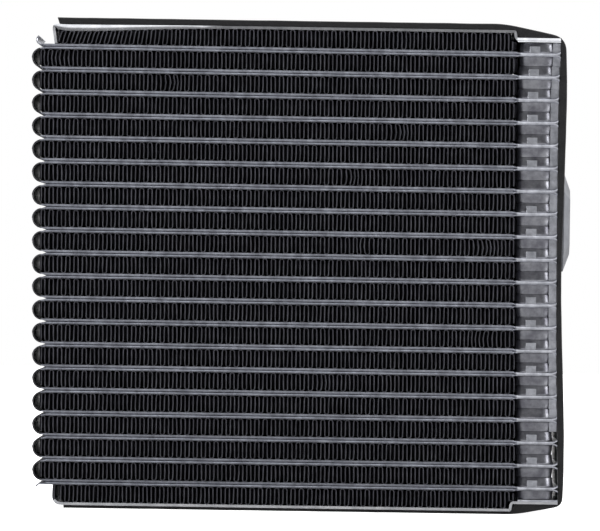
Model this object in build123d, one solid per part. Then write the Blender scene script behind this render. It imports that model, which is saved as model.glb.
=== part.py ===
from build123d import *
import math
import os

# A laminated plate-and-fin evaporator core: a stack of flat tubes, each brazed
# from two stamped plates, with folded fin rows between them.  Every plate has
# two drawn cups at its right-hand end, and the stacked cups are the tank.
# Millimetres.  The stack is laid out about its own middle and then stood on
# its base: +X runs along the tubes to the tank, +Y into the air flow, +Z up.

# --- Stack -------------------------------------------------------------------
tube_count = 20
tube_pitch = 10.4
core_depth = 74.0         # along the air flow
stack_lean = 0.88         # degrees: each tier sits a little left of the one below
partition_tubes = (4, 10, 14)   # counted from the bottom, pressed without a clinch tab

# --- Stamped plates ----------------------------------------------------------
plate_sheet = 0.6
channel_depth = 0.6       # how far a plate is drawn outward over its passage
field_length = 214.6      # flat run of the tube, which the fins cover
lip_run = 1.6             # sloping edge between a flared lip and the brazed rim
rim_width = 2.0           # brazed rim between the lip and the passage
shoulder_run = 0.6        # slope from the rim up to the passage
lip_facets = 3            # flats round a rolled end lip
lip_root = 0.6            # how far an end lip is carried in over the field
free_lip_radius = 2.3     # outermost lips have no neighbour and are rolled in
free_lip_sweep = 130.0    # degrees

# --- Tank end of a plate -----------------------------------------------------
neck_length = 0.4         # flat sheet between the field and the cups
cup_length = 16.8
cup_inset = 1.0           # flange left in front of and behind the cups
cup_gap = 4.0             # between the front cup and the rear cup
cup_corner = 3.8
cup_draft = 1.1           # how much smaller a cup is at its mouth, each side
end_cup_rise = 4.8        # outermost cups, from the seam to their flat
fishtail_run = 2.1        # free edge of the flange, bent away from the seam
fishtail_rise = 1.0

# --- Clinch tabs -------------------------------------------------------------
tab_length = 4.6
tab_rise = 2.4            # above the sheet that it holds down
tab_offset = 4.9          # from the start of the cup

# --- Folded fins -------------------------------------------------------------
fin_sheet = 0.2
fin_leg_count = 36        # legs in a full row
fin_nose = 1.6            # how far a full row reaches into the flared lips
fin_tail = 0.2            # how far it runs on past the field
fin_inset = 0.5           # behind the plates' front and rear edges

# --- Side plates and tank caps -----------------------------------------------
side_sheet = 1.2
side_bend = 1.5           # inside radius of the side plate's bends
foot_setback = 4.3        # side plate's left end, right of the field's start
foot_tuck = 1.4           # how far the foot leans in under the plate
joggle_run = 0.6          # step down from the fins to the tank cap
joggle_bend = 0.5         # where the sheet lies down on the cap
fin_clearance = 0.4       # between an outermost row and the side plate's foot
cap_sheet = 1.0
cap_setback = 1.2         # cap's left end, right of the step

# --- Foam seal ---------------------------------------------------------------
foam_inset = 1.0          # behind the core's front and rear faces
foam_top_sheet = 2.9
foam_base_sheet = 1.4     # squashed by the weight of the core
foam_side_top = 4.0       # thickness down the tank side, at its upper end
foam_side_upper = 4.4
foam_side_middle = 1.4    # the strip is pressed in at half height
foam_side_lower = 3.0
foam_side_base = 2.0
foam_full_height = 80.0   # the strip swells this far above and below the middle
foam_waist_drop = 8.0     # it is thinnest just below the middle
foam_over_cap = 0.5       # stretched thin where it turns over the tank caps
foam_under_cap = 0.8
foam_top_corner = 8.0     # outside radius of the upper turn
foam_base_corner = 5.0
foam_heel = 3.6           # from the joggle back to where the top starts to slope
foam_heel_radius = 60.0
foam_bulge_radius = 600.0
foam_top_start = 2.7      # right of the side plate's left end
foam_base_start = 5.2
window_clearance = 0.6    # round the valve pad

# --- Valve pad ---------------------------------------------------------------
pad_height = 45.0
pad_width = 62.0
pad_thickness = 5.6
pad_straight = 2.6        # straight wall before the rounded shoulder
pad_shoulder = 8.0        # how far the shoulder runs in towards the face
pad_corner = 9.0
pad_rise = 22.5           # pad's middle above the middle of the stack
port_spacing = 26.0
outlet_radius = 8.0
inlet_radius = 6.0
port_floor = 0.6          # wall left under a port
screw_spacing = 17.0
screw_radius = 2.5        # tapping size of the M6 valve screws
screw_depth = 4.4
tip_clearance = 0.2       # between the plates' free tips and what lies on them

# --- Derived sizes -----------------------------------------------------------
half_pitch = tube_pitch / 2
half_tube = plate_sheet + channel_depth
half_bay = half_pitch - half_tube
half_depth = core_depth / 2
flange_half_depth = half_depth - plate_sheet
cup_start = field_length + neck_length
flange_end = cup_start + cup_length + fishtail_run
cup_width = (2 * flange_half_depth - 2 * cup_inset - cup_gap) / 2
cup_offset = (cup_width + cup_gap) / 2
stack_half = (tube_count - 1) * tube_pitch / 2
side_under = half_tube + 2 * half_bay
side_outer = side_under + side_sheet
tank_under = end_cup_rise + cap_sheet
tank_outer = tank_under + side_sheet
foot_start = foot_setback
joggle_start = field_length
lean = math.tan(math.radians(stack_lean))
base_drop = stack_half + side_outer + foam_base_sheet
pad_back = flange_end + tip_clearance - lean * (pad_rise - pad_height / 2)
leftmost = -(half_bay + plate_sheet) - lean * stack_half
rightmost = pad_back + pad_thickness
middle = (leftmost + rightmost) / 2


def tier(number):
    """Height of a tube's seam; tube 1 is the lowest."""
    return (number - 1) * tube_pitch - stack_half


def place(height):
    """Location of a piece whose own datum is at this height in the stack."""
    return Pos(-lean * height - middle, 0, base_drop + height)


def solid_along_y(outline, near, far):
    """Prism of an X-Z outline between two depths."""
    face = Plane.XZ * make_face(outline)
    return extrude(Pos(0, far, 0) * face, amount=far - near)


def ring_point(radius, centre_height, degrees):
    turn = math.radians(degrees)
    return (radius * math.cos(turn), centre_height + radius * math.sin(turn))


def end_lip(radius, sweep):
    """The plate's left edge, rolled away from the seam in a few flats."""
    centre = half_tube + radius
    turns = [-90 - sweep * step / lip_facets for step in range(lip_facets + 1)]
    inner = [ring_point(radius, centre, turn) for turn in turns]
    outer = [ring_point(radius + plate_sheet, centre, turn) for turn in turns]
    root = [(lip_root, plate_sheet), (lip_root, half_tube)]
    outline = Polyline(*inner, *reversed(outer), *root, close=True)
    return solid_along_y(outline, -half_depth, half_depth)


def plate_field():
    """Flared lip, brazed rim and raised passage, front to back."""
    edge = half_depth
    rim = edge - lip_run
    foot = rim - rim_width
    crown = foot - shoulder_run
    front_top = [(-edge, half_tube), (-rim, plate_sheet), (-foot, plate_sheet), (-crown, half_tube)]
    rear_top = [(-y, z) for y, z in reversed(front_top)]
    under = [(edge, channel_depth), (rim, 0), (-rim, 0), (-edge, channel_depth)]
    section = Plane.YZ * make_face(Polyline(*front_top, *rear_top, *under, close=True))
    return extrude(section, amount=field_length)


def tank_flange():
    """Flat sheet that carries the cups; its free edge opens like a fishtail."""
    tail = flange_end - fishtail_run
    outline = Polyline(
        (field_length, 0),
        (tail, 0),
        (flange_end, fishtail_rise),
        (flange_end, fishtail_rise + plate_sheet),
        (tail, plate_sheet),
        (field_length, plate_sheet),
        close=True,
    )
    return solid_along_y(outline, -flange_half_depth, flange_half_depth)


def cropped(width, height, corner):
    """Rectangle with its four corners cropped."""
    return chamfer(Rectangle(width, height).vertices(), corner)


def cup(rise, side):
    """One drawn cup with cropped corners, narrower at its mouth."""
    height = rise - plate_sheet
    base = cropped(cup_length, cup_width, cup_corner)
    taper = math.degrees(math.atan(cup_draft / height))
    spot = Pos(cup_start + cup_length / 2, side * cup_offset, plate_sheet)
    return spot * extrude(base, amount=height, taper=taper)


def clinch_tab():
    """Ear on the lower plate, folded up over the front edge of the upper one."""
    height = 2 * plate_sheet + tab_rise
    left = cup_start + tab_offset
    spot = Pos(left + tab_length / 2, -half_depth + plate_sheet / 2, height / 2 - plate_sheet)
    return spot * Box(tab_length, plate_sheet, height)


def plate(outermost=False):
    """Upper plate of a tube, with its seam on the plane z = 0."""
    rise = end_cup_rise if outermost else half_pitch
    radius = free_lip_radius if outermost else half_bay
    sweep = free_lip_sweep if outermost else 90.0
    body = plate_field() + tank_flange() + end_lip(radius, sweep)
    return body + cup(rise, -1) + cup(rise, 1)


def fin_row(start, end, legs):
    """Folded sheet from mid height to mid height; the fold lines run along the air flow."""
    pitch = (end - start) / legs
    thick = fin_sheet * math.hypot(pitch, 2 * half_bay) / pitch
    crest = half_bay - thick / 2
    folds = [(start, 0)]
    for leg in range(legs):
        folds.append((start + (leg + 0.5) * pitch, crest if leg % 2 else -crest))
    folds.append((end, 0))
    upper = [(x, z + thick / 2) for x, z in folds]
    lower = [(x, z - thick / 2) for x, z in folds]
    outline = Polyline(*upper, *reversed(lower), close=True)
    return solid_along_y(outline, fin_inset - half_depth, half_depth - fin_inset)


def side_plate():
    """Folded sheet over the top fin row, measured up from the last tube's seam."""
    path = FilletPolyline(
        (foot_start + foot_tuck, half_tube),
        (foot_start, side_outer),
        (joggle_start, side_outer),
        (joggle_start + joggle_run, tank_outer),
        (flange_end, tank_outer),
        radius=[side_bend, side_bend, joggle_bend],
    )
    sheet = offset(path, amount=side_sheet, side=Side.RIGHT, kind=Kind.INTERSECTION)
    return solid_along_y(sheet, -flange_half_depth, flange_half_depth)


def tank_cap():
    """Flat plate that closes the last pair of cups."""
    start = joggle_start + cap_setback
    length = flange_end - start
    spot = Pos(start + length / 2, 0, end_cup_rise + cap_sheet / 2)
    return spot * Box(length, 2 * flange_half_depth, cap_sheet)


def leaned(x, z):
    """Point of an outline that follows the lean of the whole stack."""
    return (x - lean * z, z)


def swell_radius(waist, swell, corner, corner_radius):
    """Radius of a swell in the side strip, no larger than the run up to its corner allows."""
    towards = math.atan2(swell[1] - waist[1], swell[0] - waist[0])
    onwards = math.atan2(corner[1] - swell[1], corner[0] - swell[0])
    room = math.dist(swell, corner) - corner_radius
    return min(foam_bulge_radius, room / math.tan(abs(onwards - towards) / 2))


def foam_seal():
    """Foam tape over the top, down the tank side and under the base, as three strips."""
    top = stack_half + side_outer
    cap = stack_half + tank_outer
    left_top = foot_start + foam_top_start
    left_base = foot_start + foam_base_start
    wall = flange_end + tip_clearance
    joggle_foot = joggle_start + joggle_run + joggle_bend
    upper_turn = leaned(wall + foam_side_top, cap + foam_over_cap)
    upper_swell = leaned(wall + foam_side_upper, foam_full_height)
    waist = leaned(wall + foam_side_middle, -foam_waist_drop)
    lower_swell = leaned(wall + foam_side_lower, -foam_full_height)
    lower_turn = leaned(wall + foam_side_base, -cap - foam_under_cap)
    outside = FilletPolyline(
        leaned(left_top, top + foam_top_sheet),
        leaned(joggle_start - foam_heel, top + foam_top_sheet),
        upper_turn,
        upper_swell,
        waist,
        lower_swell,
        lower_turn,
        leaned(joggle_start, -top - foam_base_sheet),
        leaned(left_base, -top - foam_base_sheet),
        radius=[
            foam_heel_radius,
            foam_top_corner,
            swell_radius(waist, upper_swell, upper_turn, foam_top_corner),
            foam_bulge_radius,
            swell_radius(waist, lower_swell, lower_turn, foam_base_corner),
            foam_base_corner,
            foam_heel_radius,
        ],
    )
    inside = Polyline(
        leaned(left_base, -top - foam_base_sheet),
        leaned(left_base, -top),
        leaned(joggle_start, -top),
        leaned(joggle_foot, -cap),
        leaned(wall, -cap),
        leaned(wall, cap),
        leaned(joggle_foot, cap),
        leaned(joggle_start, top),
        leaned(left_top, top),
        leaned(left_top, top + foam_top_sheet),
    )
    strip = solid_along_y(outside + inside, foam_inset - half_depth, half_depth - foam_inset)
    reach = Box(4 * half_depth + flange_end, core_depth, 2 * stack_half)
    ends = strip - Pos(middle, 0, 0) * reach
    side = strip & Pos(middle, 0, 0) * reach
    lower, upper = ends.solids().sort_by(Axis.Z)
    return upper, side - pad_window(), lower


def pad_window():
    """Opening in the foam that lets the valve pad through."""
    width = pad_width + 2 * window_clearance
    height = pad_height + 2 * window_clearance
    shape = Plane.YZ * cropped(width, height, pad_corner)
    return Pos(flange_end - half_tube, 0, pad_rise) * extrude(shape, amount=2 * pad_thickness)


def valve_pad():
    """Block on the tank's side that takes the expansion valve."""
    base = cropped(pad_width, pad_height, pad_corner)
    crown_height = pad_thickness - pad_straight
    slope = math.degrees(math.atan(pad_shoulder / crown_height))
    wall = extrude(base, amount=pad_straight)
    crown = Pos(0, 0, pad_straight) * extrude(base, amount=crown_height, taper=slope)
    block = wall + crown
    port_depth = pad_thickness - port_floor
    block -= bore(outlet_radius, port_depth, port_spacing / 2, 0)
    block -= bore(inlet_radius, port_depth, -port_spacing / 2, 0)
    for side in (-1, 1):
        block -= bore(screw_radius, screw_depth, 0, side * screw_spacing / 2)
    return Pos(pad_back, 0, pad_rise) * (Plane.YZ.location * block)


def bore(radius, depth, across, up):
    """Blind hole let into the pad's outer face."""
    return Pos(across, up, pad_thickness - depth / 2) * Cylinder(radius, depth)


def save(shape, name):
    export_step(shape, f"parts/{name}.step")


def main():
    os.makedirs("parts", exist_ok=True)

    upper = plate()
    lower = mirror(upper, about=Plane.XY)
    tabbed = lower + clinch_tab()
    end_upper = plate(outermost=True)
    end_lower = mirror(end_upper, about=Plane.XY) + clinch_tab()
    for number in range(1, tube_count + 1):
        below = lower if number in partition_tubes else tabbed
        if number == 1:
            below = end_lower
        above = end_upper if number == tube_count else upper
        pair = Compound(children=[place(tier(number)) * copy_of(below), place(tier(number)) * copy_of(above)])
        save(pair, f"tube_{number:02d}")

    outer_start = foot_start + foot_tuck + side_sheet + fin_clearance
    outer_end = joggle_start - 2 * side_sheet
    outer_legs = round(fin_leg_count * (outer_end - outer_start) / field_length)
    full_row = fin_row(-fin_nose, field_length + fin_tail, fin_leg_count)
    short_row = fin_row(outer_start, outer_end, outer_legs)
    for number in range(1, tube_count + 2):
        row = short_row if number in (1, tube_count + 1) else full_row
        save(place(tier(number) - half_pitch) * copy_of(row), f"fin_{number:02d}")

    top_sheet = side_plate()
    top_cap = tank_cap()
    save(place(stack_half) * top_sheet, "side_plate_top")
    save(place(-stack_half) * mirror(top_sheet, about=Plane.XY), "side_plate_bottom")
    save(place(stack_half) * top_cap, "tank_cap_top")
    save(place(-stack_half) * mirror(top_cap, about=Plane.XY), "tank_cap_bottom")
    for name, strip in zip(("foam_top", "foam_side", "foam_base"), foam_seal()):
        save(place(0) * strip, name)
    save(place(0) * valve_pad(), "valve_pad")


def copy_of(shape):
    """Separate copy, so that two nodes never share one shape."""
    return shape.moved(Location())


main()
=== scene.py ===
# %% [markdown]
# An evaporator core for a car's air conditioning, dressed for a studio scene.
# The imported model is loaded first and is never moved. Every piece below either
# gives one of its nodes a finish, or stands in for a node with a finer mesh.
# The meshes could be drawn by hand in edit mode. A script was chosen, because
# it keeps each size under its name, and dresses a changed core by itself.

# %% Load the frame
import math

import bpy
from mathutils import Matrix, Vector, noise


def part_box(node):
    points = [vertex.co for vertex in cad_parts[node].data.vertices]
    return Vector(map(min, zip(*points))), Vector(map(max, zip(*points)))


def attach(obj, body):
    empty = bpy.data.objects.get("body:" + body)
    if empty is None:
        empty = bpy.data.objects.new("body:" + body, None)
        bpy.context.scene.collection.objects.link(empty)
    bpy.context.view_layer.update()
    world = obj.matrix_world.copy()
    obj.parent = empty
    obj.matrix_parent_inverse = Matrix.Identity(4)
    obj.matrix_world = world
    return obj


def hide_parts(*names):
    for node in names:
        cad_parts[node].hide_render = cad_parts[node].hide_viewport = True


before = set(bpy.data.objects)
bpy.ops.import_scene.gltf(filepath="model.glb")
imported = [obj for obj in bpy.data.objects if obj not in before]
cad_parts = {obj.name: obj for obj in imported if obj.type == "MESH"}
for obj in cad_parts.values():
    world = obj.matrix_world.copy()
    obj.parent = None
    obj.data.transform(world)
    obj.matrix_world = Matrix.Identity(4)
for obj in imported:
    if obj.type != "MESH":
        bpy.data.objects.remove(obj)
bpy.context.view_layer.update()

# %% [markdown]
# Sheet, folds and louvres are read in millimetres on a drawing, so the sizes
# here are in millimetres too, and one factor turns them to metres. Places could
# be typed in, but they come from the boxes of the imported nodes, so a changed
# core moves its dressing.

# %% Units, boxes and the core's own sizes
MM = 0.001


def node_box(name):
    """Lowest and highest corner of a node, in millimetres."""
    low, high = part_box(name)
    return Vector(low) / MM, Vector(high) / MM


TUBE_COUNT = sum(name.startswith("tube_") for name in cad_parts)
TOP_ROW = TUBE_COUNT + 1
low, high = node_box("tube_02")
PITCH = high.z - low.z
HALF_PITCH = PITCH / 2
HALF_DEPTH = high.y
SEAM_2 = (low.z + high.z) / 2
LEAN = (node_box("tube_02")[1].x - node_box("tube_03")[1].x) / PITCH

SHEET = 0.6
HALF_TUBE = 1.2
CHANNEL = HALF_TUBE - SHEET
HALF_BAY = HALF_PITCH - HALF_TUBE
TAIL_END = (high.x - low.x) - (HALF_BAY + SHEET)
FIELD = 214.6
FLANGE_DEPTH = HALF_DEPTH - SHEET
STACK_HALF = (TUBE_COUNT - 1) * PITCH / 2
print(f"{TUBE_COUNT} tubes, pitch {PITCH:.2f} mm, depth {2 * HALF_DEPTH:.1f} mm")

# %% [markdown]
# Each row of the core is measured from its own zero: X from where the flat run
# of its tube begins, Z from its seam. From row to row that zero moves a little
# sideways, so the stack leans. The rows could be modelled where they stand,
# but one that is laid out at its own zero and then set in is simpler to read.

# %% Where a row stands


def clamp(value, low=0.0, high=1.0):
    return min(max(value, low), high)


def seam_height(number):
    return SEAM_2 + (number - 2) * PITCH


def field_start(number):
    """The X at which the flat run of a tube begins; it ends FIELD further on."""
    return node_box("tube_02")[1].x - TAIL_END - LEAN * (number - 2) * PITCH


MIDDLE_TUBE = (TUBE_COUNT + 1) / 2
MIDDLE_START = field_start(MIDDLE_TUBE)
MIDDLE_HEIGHT = seam_height(MIDDLE_TUBE)


def standing(x, y, z):
    """A place measured from the middle of the stack, set into the leaning stack."""
    return (MIDDLE_START + x - LEAN * z, y, MIDDLE_HEIGHT + z)


print(f"from the lowest seam to the highest it leans {2 * LEAN * STACK_HALF:.2f} mm")

# %% [markdown]
# A brazed stack is never quite true. At the tank end its waist has moved in by
# half a millimetre, its top has moved out, and the upper rows hang a little
# lower. A lattice round the core could bend it so, but two small functions keep
# each amount in sight, and every piece asks them where it belongs.

# %% Creep and sag of the tank end
TOP_CREEP = 1.5
TOP_CREEP_POWER = 8
WAIST_CREEP = 0.5
WAIST_END = 0.7
SAG = 0.62
SAG_START = -0.26


def drift(z):
    """How far the tank end has crept sideways, at a height from the middle."""
    place = clamp(z / STACK_HALF / 2 + 0.5)
    waist = WAIST_CREEP * math.sin(math.pi * place / WAIST_END) if place < WAIST_END else 0.0
    return TOP_CREEP * place ** TOP_CREEP_POWER - waist


def settle(x, z):
    """How far a place has sunk; the upper rows hang lower, most at the tank end."""
    share = clamp((z / STACK_HALF - SAG_START) / (1 - SAG_START))
    return -SAG * share * clamp(x / TAIL_END)


print(f"creep at the top {drift(STACK_HALF):.2f} mm, sag there {-settle(TAIL_END, STACK_HALF):.2f} mm")

# %% [markdown]
# A camera far away with a long lens keeps the tubes parallel, as a catalogue
# shows them. An orthographic camera would be simpler, but it would hide how
# the deeper parts draw together. The camera looks straight at the air side, and
# is rolled by a fraction of a degree, as the core doesn't stand quite square.

# %% Camera
VIEW_WIDTH = 272.2
VIEW_DISTANCE = 3000.0
VIEW_ROLL = 0.85
VIEW_TARGET = Vector((0.17, 0.0, 111.6))
FARTHEST_SEEN = 50

lens_data = bpy.data.cameras.new("long_lens")
camera = bpy.data.objects.new("long_lens", lens_data)
bpy.context.scene.collection.objects.link(camera)
camera.location = (VIEW_TARGET - Vector((0, VIEW_DISTANCE + HALF_DEPTH, 0))) * MM
camera.rotation_euler = (math.radians(90), math.radians(-VIEW_ROLL), 0)
lens_data.lens = lens_data.sensor_width * VIEW_DISTANCE / VIEW_WIDTH
lens_data.clip_end = FARTHEST_SEEN
bpy.context.scene.camera = camera
print(f"lens {lens_data.lens:.0f} mm")

# %% [markdown]
# A finish could be an image on the surface, but a node tree fits any mesh and
# needs no file. Colours are the sRGB values that a swatch would show, and one
# function turns them to the linear values that the shader works in. One more
# adds a node with its settings and its links, so each finish stays short.

# %% Colour and node helpers


def linear(hex_code):
    """sRGB hex to linear RGBA."""
    values = []
    for start in (0, 2, 4):
        c = int(hex_code[start:start + 2], 16) / 255
        values.append(c / 12.92 if c <= 0.04045 else ((c + 0.055) / 1.055) ** 2.4)
    return (*values, 1.0)


def add(tree, kind, settings=None, inputs=None):
    """A node of a kind, with its settings, and its inputs set or linked."""
    node = tree.nodes.new(kind)
    for name, value in (settings or {}).items():
        setattr(node, name, value)
    for name, value in (inputs or {}).items():
        if isinstance(value, bpy.types.NodeSocket):
            tree.links.new(value, node.inputs[name])
        else:
            node.inputs[name].default_value = value
    return node


def new_material(name):
    """A material and its node tree, which is empty."""
    material = bpy.data.materials.new(name)
    material.use_nodes = True
    material.node_tree.nodes.clear()
    return material, material.node_tree


def finished(material, surface):
    """The same material, once its surface is led to the output."""
    add(material.node_tree, "ShaderNodeOutputMaterial", {}, {"Surface": surface})
    print("finish", material.name)
    return material


# %% [markdown]
# Metal that has been through a furnace is never one flat colour. A noise as
# wide as the real patches mixes two colours, and a finer one raises the grain
# by bump. Painted maps could do it, but would need unwrapping; both noises are
# in the object's own space, so they lie still on the part at their real size.

# %% Patches and grain
PATCH_STOPS = (0.35, 0.68)
PATCH_ROUGHNESS = 0.6
GRAIN_DETAIL, GRAIN_ROUGHNESS = 4.0, 0.7


def blotches(tree, size_mm, detail, low, high):
    """Soft patches of two colours, as large as a real size."""
    place = add(tree, "ShaderNodeTexCoord").outputs["Object"]
    spots = add(tree, "ShaderNodeTexNoise", {}, {
        "Vector": place, "Scale": 1 / (size_mm * MM), "Detail": detail, "Roughness": PATCH_ROUGHNESS,
    }).outputs["Fac"]
    ramp = add(tree, "ShaderNodeValToRGB", {}, {"Fac": spots})
    for stop, position, colour in zip(ramp.color_ramp.elements, PATCH_STOPS, (low, high)):
        stop.position = position
        stop.color = colour
    return ramp.outputs["Color"]


def grain(tree, size_mm, strength, height_mm):
    """Bump from a fine noise, as high and as wide as a real grain."""
    place = add(tree, "ShaderNodeTexCoord").outputs["Object"]
    spots = add(tree, "ShaderNodeTexNoise", {}, {
        "Vector": place, "Scale": 1 / (size_mm * MM), "Detail": GRAIN_DETAIL, "Roughness": GRAIN_ROUGHNESS,
    }).outputs["Fac"]
    return add(tree, "ShaderNodeBump", {}, {
        "Height": spots, "Strength": strength, "Distance": height_mm * MM,
    }).outputs["Normal"]


print("patches between", PATCH_STOPS, "of the noise")

# %% [markdown]
# The plates are rolled aluminium with a brazing skin. In the furnace the skin
# melts and the flux leaves a dull grey bloom, so the metal no longer mirrors:
# it gives a soft, slightly violet grey sheen, patchy over a few millimetres.
# The cups take a darker copy of the same sheet's metal, which is painted
# shade, and the flanges round them a lighter one, which is painted light;
# the side sheet is nearly clean, and the pad is milled. Five separate trees
# could be drawn, but they differ only in colours and sizes, so one function
# makes them all.

# %% Brazed, rolled and machined aluminium
METAL_PATCH_DETAIL = 4.0
METAL_GRAIN_STRENGTH = 0.35


def metal(name, dark, light, patch_mm, roughness, grain_mm, grain_height_mm):
    """Bare aluminium: full metal, with patches of bloom and a fine grain."""
    material, tree = new_material(name)
    shader = add(tree, "ShaderNodeBsdfPrincipled", {}, {
        "Base Color": blotches(tree, patch_mm, METAL_PATCH_DETAIL, linear(dark), linear(light)),
        "Metallic": 1.0,
        "Roughness": roughness,
        "Normal": grain(tree, grain_mm, METAL_GRAIN_STRENGTH, grain_height_mm),
    })
    return finished(material, shader.outputs["BSDF"])


BRAZED = metal(
    "brazed_aluminium", "7C7E87", "A4A7B1",
    patch_mm=3.5, roughness=0.38, grain_mm=0.35, grain_height_mm=0.02,
)
# Painted shade: a darker copy of the brazed metal for the cups.
SHADED_CUP_METAL = metal(
    "cup_aluminium_painted_shade", "6E6E76", "98999F",
    patch_mm=4.5, roughness=0.38, grain_mm=0.3, grain_height_mm=0.015,
)
SHEET_METAL = metal(
    "rolled_aluminium_sheet", "C8CACF", "ECEDF1",
    patch_mm=6.0, roughness=0.32, grain_mm=0.3, grain_height_mm=0.012,
)
# Painted light: a lighter copy of the brazed metal for the flanges, tabs, beads and the end plates' lips.
LIT_FLANGE_METAL = metal(
    "flange_aluminium_painted_light", "A4A6AE", "CED0D8",
    patch_mm=4.0, roughness=0.34, grain_mm=0.3, grain_height_mm=0.015,
)
MACHINED = metal(
    "machined_aluminium", "7E8087", "999BA2",
    patch_mm=8.0, roughness=0.36, grain_mm=0.2, grain_height_mm=0.012,
)

# %% [markdown]
# The fins are foil of a tenth of a millimetre. A dark water-shedding coat
# is baked on so that condensate runs off, which leaves them nearly black with
# a weak gloss where a fold or a louvre turns to the light. The plate faces
# that look into the fins, the flared lips and the bent foot of the lower side
# plate take a colour darker still, which is painted shade, as these faces lie
# in shade. A separate coat layer is possible, but a low metallic value looks
# the same.

# %% Coated foil, and painted shade for the plates
DARK_PATCH_MM, DARK_PATCH_DETAIL = 5.0, 3.0
DARK_GRAIN_MM, DARK_GRAIN_STRENGTH, DARK_GRAIN_HEIGHT_MM = 0.4, 0.3, 0.02


def dark_coat_and_shade(name, dark, light, metallic, roughness):
    """Dark colour over metal, for the fins' baked coat and for the plates' painted shade; a little of the
    metal still shines through it.
    """
    material, tree = new_material(name)
    shader = add(tree, "ShaderNodeBsdfPrincipled", {}, {
        "Base Color": blotches(tree, DARK_PATCH_MM, DARK_PATCH_DETAIL, linear(dark), linear(light)),
        "Metallic": metallic,
        "Roughness": roughness,
        "Normal": grain(tree, DARK_GRAIN_MM, DARK_GRAIN_STRENGTH, DARK_GRAIN_HEIGHT_MM),
    })
    return finished(material, shader.outputs["BSDF"])


FOIL = dark_coat_and_shade("coated_fin_foil", "44444B", "5F5F67", metallic=0.3, roughness=0.42)
# Painted shade: a darker colour for plate faces that lie in shade, in the bays, the flared lips and the
# foot.
PAINTED_SHADE_PLATE = dark_coat_and_shade("plate_painted_shade", "2A2A2E", "3E3E44", metallic=0.2, roughness=0.45)

# %% [markdown]
# The seal is closed-cell rubber foam tape, sliced from a block. The cut cells
# are half a millimetre across, and they drink the light: it looks charcoal
# and quite matt, with a faint bloom of dust on the edges of the cells. Each
# cell could be modelled, but at this size a cell pattern as bump is enough.

# %% Foam rubber
CELL_MM = 0.55
CELL_DEPTH_MM = 0.12
CELL_STRENGTH = 0.5


def foam_rubber():
    material, tree = new_material("closed_cell_foam")
    place = add(tree, "ShaderNodeTexCoord").outputs["Object"]
    cells = add(tree, "ShaderNodeTexVoronoi", {"feature": "F1"}, {
        "Vector": place, "Scale": 1 / (CELL_MM * MM), "Randomness": 1.0,
    }).outputs["Distance"]
    shade = add(tree, "ShaderNodeValToRGB", {}, {"Fac": cells})
    shade.color_ramp.elements[0].color = linear("0C0C0D")
    shade.color_ramp.elements[1].color = linear("272729")
    bump = add(tree, "ShaderNodeBump", {}, {
        "Height": cells, "Strength": CELL_STRENGTH, "Distance": CELL_DEPTH_MM * MM,
    }).outputs["Normal"]
    shader = add(tree, "ShaderNodeBsdfPrincipled", {}, {
        "Base Color": shade.outputs["Color"],
        "Roughness": 0.85,
        "IOR": 1.45,
        "Sheen Weight": 0.1,
        "Normal": bump,
    })
    return finished(material, shader.outputs["BSDF"])


FOAM = foam_rubber()

# %% [markdown]
# The tape holds by a film of glue on its inner face. The film is pale and
# glossy, so at a flat angle it mirrors what stands behind the core, and shows
# as a pale line where the tape leaves the metal. One plain colour could stand
# for it, but only a glossy film stays right when the core is turned.

# %% Glue film


def adhesive_film():
    material, tree = new_material("adhesive_film")
    shader = add(tree, "ShaderNodeBsdfPrincipled", {}, {
        "Base Color": blotches(tree, 6.0, 3.0, linear("9A9A9C"), linear("D6D6D8")),
        "Roughness": 0.3,
        "IOR": 1.5,
        "Normal": grain(tree, 1.5, 0.4, 0.05),
    })
    return finished(material, shader.outputs["BSDF"])


FILM = adhesive_film()

# %% [markdown]
# Each stand-in is a mesh built from lists of points and faces. The editing
# operators could build it too, but they depend on what is selected. One helper
# makes the object, gives it its finish, rides it on the core and hides the
# node. The others lay quads over a grid of points and join or mirror parts.

# %% Piece helpers


def make_piece(name, points, faces, materials, nodes, smooth_degrees=35.0, which=None):
    """Mesh object with a finish; `which` gives each face's finish by its number in the list."""
    mesh = bpy.data.meshes.new(name)
    mesh.from_pydata([Vector(p) * MM for p in points], [], faces)
    for material in materials:
        mesh.materials.append(material)
    if which:
        mesh.polygons.foreach_set("material_index", which)
    piece = bpy.data.objects.new(name, mesh)
    bpy.context.scene.collection.objects.link(piece)
    mesh.shade_smooth()
    mesh.set_sharp_from_angle(angle=math.radians(smooth_degrees))
    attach(piece, "root")
    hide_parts(*nodes)
    return piece


def grid_faces(rows, columns, start=0, wrap=False, flip=False):
    """Quads between the points of a grid that is stored row after row."""
    faces = []
    last = columns if wrap else columns - 1
    for row in range(rows - 1):
        for column in range(last):
            a = start + row * columns + column
            b = start + row * columns + (column + 1) % columns
            quad = (a, b, b + columns, a + columns)
            faces.append(quad[::-1] if flip else quad)
    return faces


def shell_faces(rows, columns):
    """Faces of a sheet: its upper grid, its lower grid, and the rim that joins them."""
    count = rows * columns
    faces = grid_faces(rows, columns, 0, flip=True) + grid_faces(rows, columns, count)
    rim = list(range(columns))
    rim += [row * columns + columns - 1 for row in range(1, rows)]
    rim += [(rows - 1) * columns + column for column in range(columns - 2, -1, -1)]
    rim += [row * columns for row in range(rows - 2, 0, -1)]
    for here, there in zip(rim, rim[1:] + rim[:1]):
        faces.append((here, there, there + count, here + count))
    return faces


def join(parts):
    """Several meshes as one list of points, one of faces and one of finishes."""
    points, faces, which = [], [], []
    for part_points, part_faces, part_which in parts:
        start = len(points)
        points += part_points
        faces += [tuple(index + start for index in face) for face in part_faces]
        which += part_which
    return points, faces, which


def turned_over(part):
    """The same part, mirrored to the other side of its seam."""
    points, faces, which = part
    return [(x, y, -z) for x, y, z in points], [face[::-1] for face in faces], which


print("a sheet of 2 by 2 points has", len(shell_faces(2, 2)), "faces")

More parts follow.
